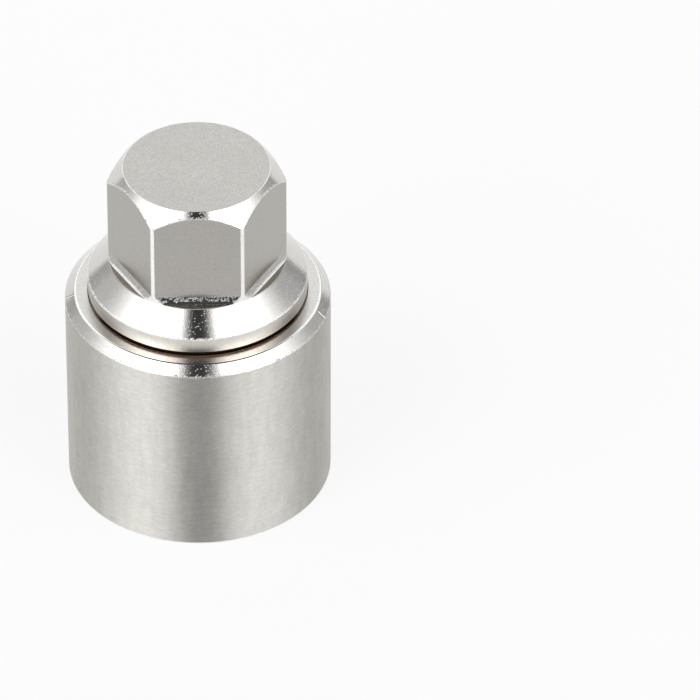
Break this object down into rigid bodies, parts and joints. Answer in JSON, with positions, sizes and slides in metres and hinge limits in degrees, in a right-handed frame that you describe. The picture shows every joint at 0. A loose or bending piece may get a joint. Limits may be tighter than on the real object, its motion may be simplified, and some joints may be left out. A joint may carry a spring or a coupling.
{
  "type": "locking wheel nut key",
  "caption": "Key for a locking wheel nut: a 29 mm sleeve round a wavy key ring, with a 17 mm hexagon on the other end.",
  "frame": {"origin": "centre of the open rim's plane, on the axis of the bore", "axes": "+Z along the axis, from the open rim to the hexagon; -Y square to one flat of the hexagon"},
  "size_m": [0.029, 0.029, 0.041],
  "materials": {
    "sleeve_steel": "satin nickel plate over fine turning marks",
    "insert_steel": "bright nickel plate, satin on the flats and the end face"
  },
  "bodies": {
    "root": {"sleeve": "sleeve_steel", "key_insert": "insert_steel"}
  },
  "joints": []
}
